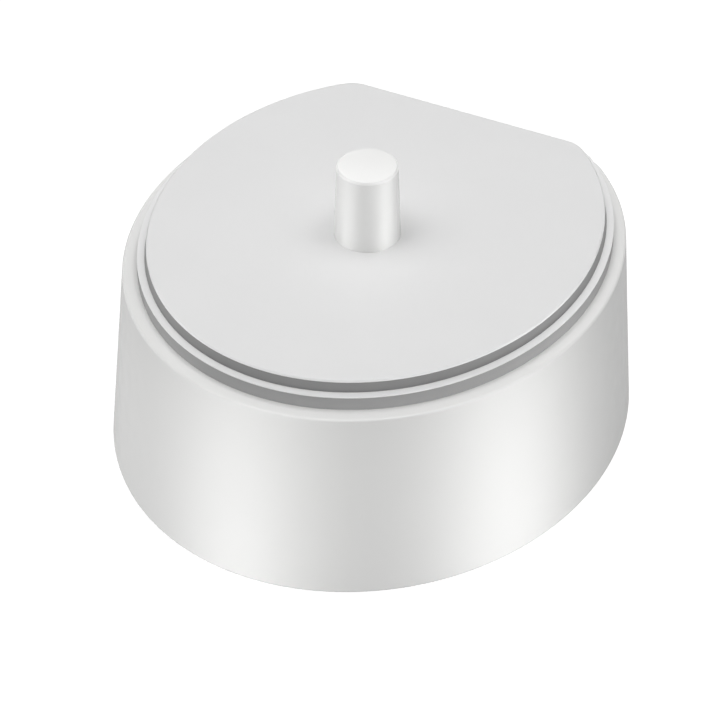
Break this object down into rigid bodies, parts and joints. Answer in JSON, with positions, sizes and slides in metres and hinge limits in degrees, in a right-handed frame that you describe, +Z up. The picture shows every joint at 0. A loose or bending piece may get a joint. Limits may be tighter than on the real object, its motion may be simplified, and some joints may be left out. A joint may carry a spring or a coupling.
{
  "type": "electric toothbrush charger",
  "caption": "Flat-backed oval charging base for an electric toothbrush, with a raised tapered charging post, a stepped deck with grey seals, rubber feet and a cord gland.",
  "frame": {"origin": "on the surface that the feet stand on, under the middle of the casing's lower edge", "axes": "+Z up along the charging post, +Y towards the flat rear wall where the cord leaves, +X to the right seen from the front"},
  "size_m": [0.0588, 0.0614, 0.0356],
  "materials": {
    "shell_abs": "glossy moulded ABS, white",
    "deck_abs": "matte textured ABS, pale grey",
    "ring_abs": "satin ABS, pale grey",
    "post_abs": "glossy moulded ABS, white",
    "base_abs": "matte moulded ABS, white",
    "seal_elastomer": "satin moulded elastomer, mid grey",
    "foot_rubber": "matte rubber, grey",
    "gland_rubber": "satin rubber, white",
    "black_rubber": "matte nitrile rubber, black",
    "zinc_steel": "bright zinc plate",
    "label_film": "blank satin polyester film",
    "board_laminate": "solder-masked glass laminate, green",
    "insulating_film": "satin polyester film",
    "solder": "reflowed tin solder",
    "ferrite": "sintered ferrite, dark grey",
    "bobbin_nylon": "moulded nylon, black",
    "copper_wire": "enamelled copper wire",
    "coil_film": "glossy polyester tape, yellow",
    "tinned_wire": "tinned copper wire",
    "tinned_brass": "tinned brass strip",
    "can_sleeve": "shrunk PVC sleeve, dark blue",
    "capacitor_case": "moulded PBT box, dark red",
    "epoxy_black": "moulded epoxy, black",
    "resistor_body": "lacquered ceramic, pale blue-green",
    "chip_ceramic": "glazed alumina chip, dark"
  },
  "bodies": {
    "root": {"base_plate": "base_abs", "base_seal": "black_rubber", "board_screws": "zinc_steel", "bridge_rectifier": "epoxy_black", "case_screws": "zinc_steel", "charging_post": "post_abs", "chip_resistors": "chip_ceramic", "circuit_board": "board_laminate", "coil_bobbin": "bobbin_nylon", "coil_pins": "tinned_wire", "coil_tape": "coil_film", "controller_chip": "epoxy_black", "cord_gland": "gland_rubber", "cord_terminals": "tinned_brass", "deck_plate": "deck_abs", "deck_seal": "seal_elastomer", "drive_transistor": "epoxy_black", "ferrite_core": "ferrite", "film_capacitor": "capacitor_case", "filter_capacitor": "can_sleeve", "filter_choke": "ferrite", "foot_front_left": "foot_rubber", "foot_front_right": "foot_rubber", "foot_rear_left": "foot_rubber", "foot_rear_right": "foot_rubber", "fuse_resistor": "resistor_body", "insulator_sheet": "insulating_film", "outer_shell": "shell_abs", "post_seal": "black_rubber", "primary_coil": "copper_wire", "rating_label": "label_film", "ring_seal": "seal_elastomer", "solder_joints": "solder", "trim_ring": "ring_abs"}
  },
  "joints": []
}
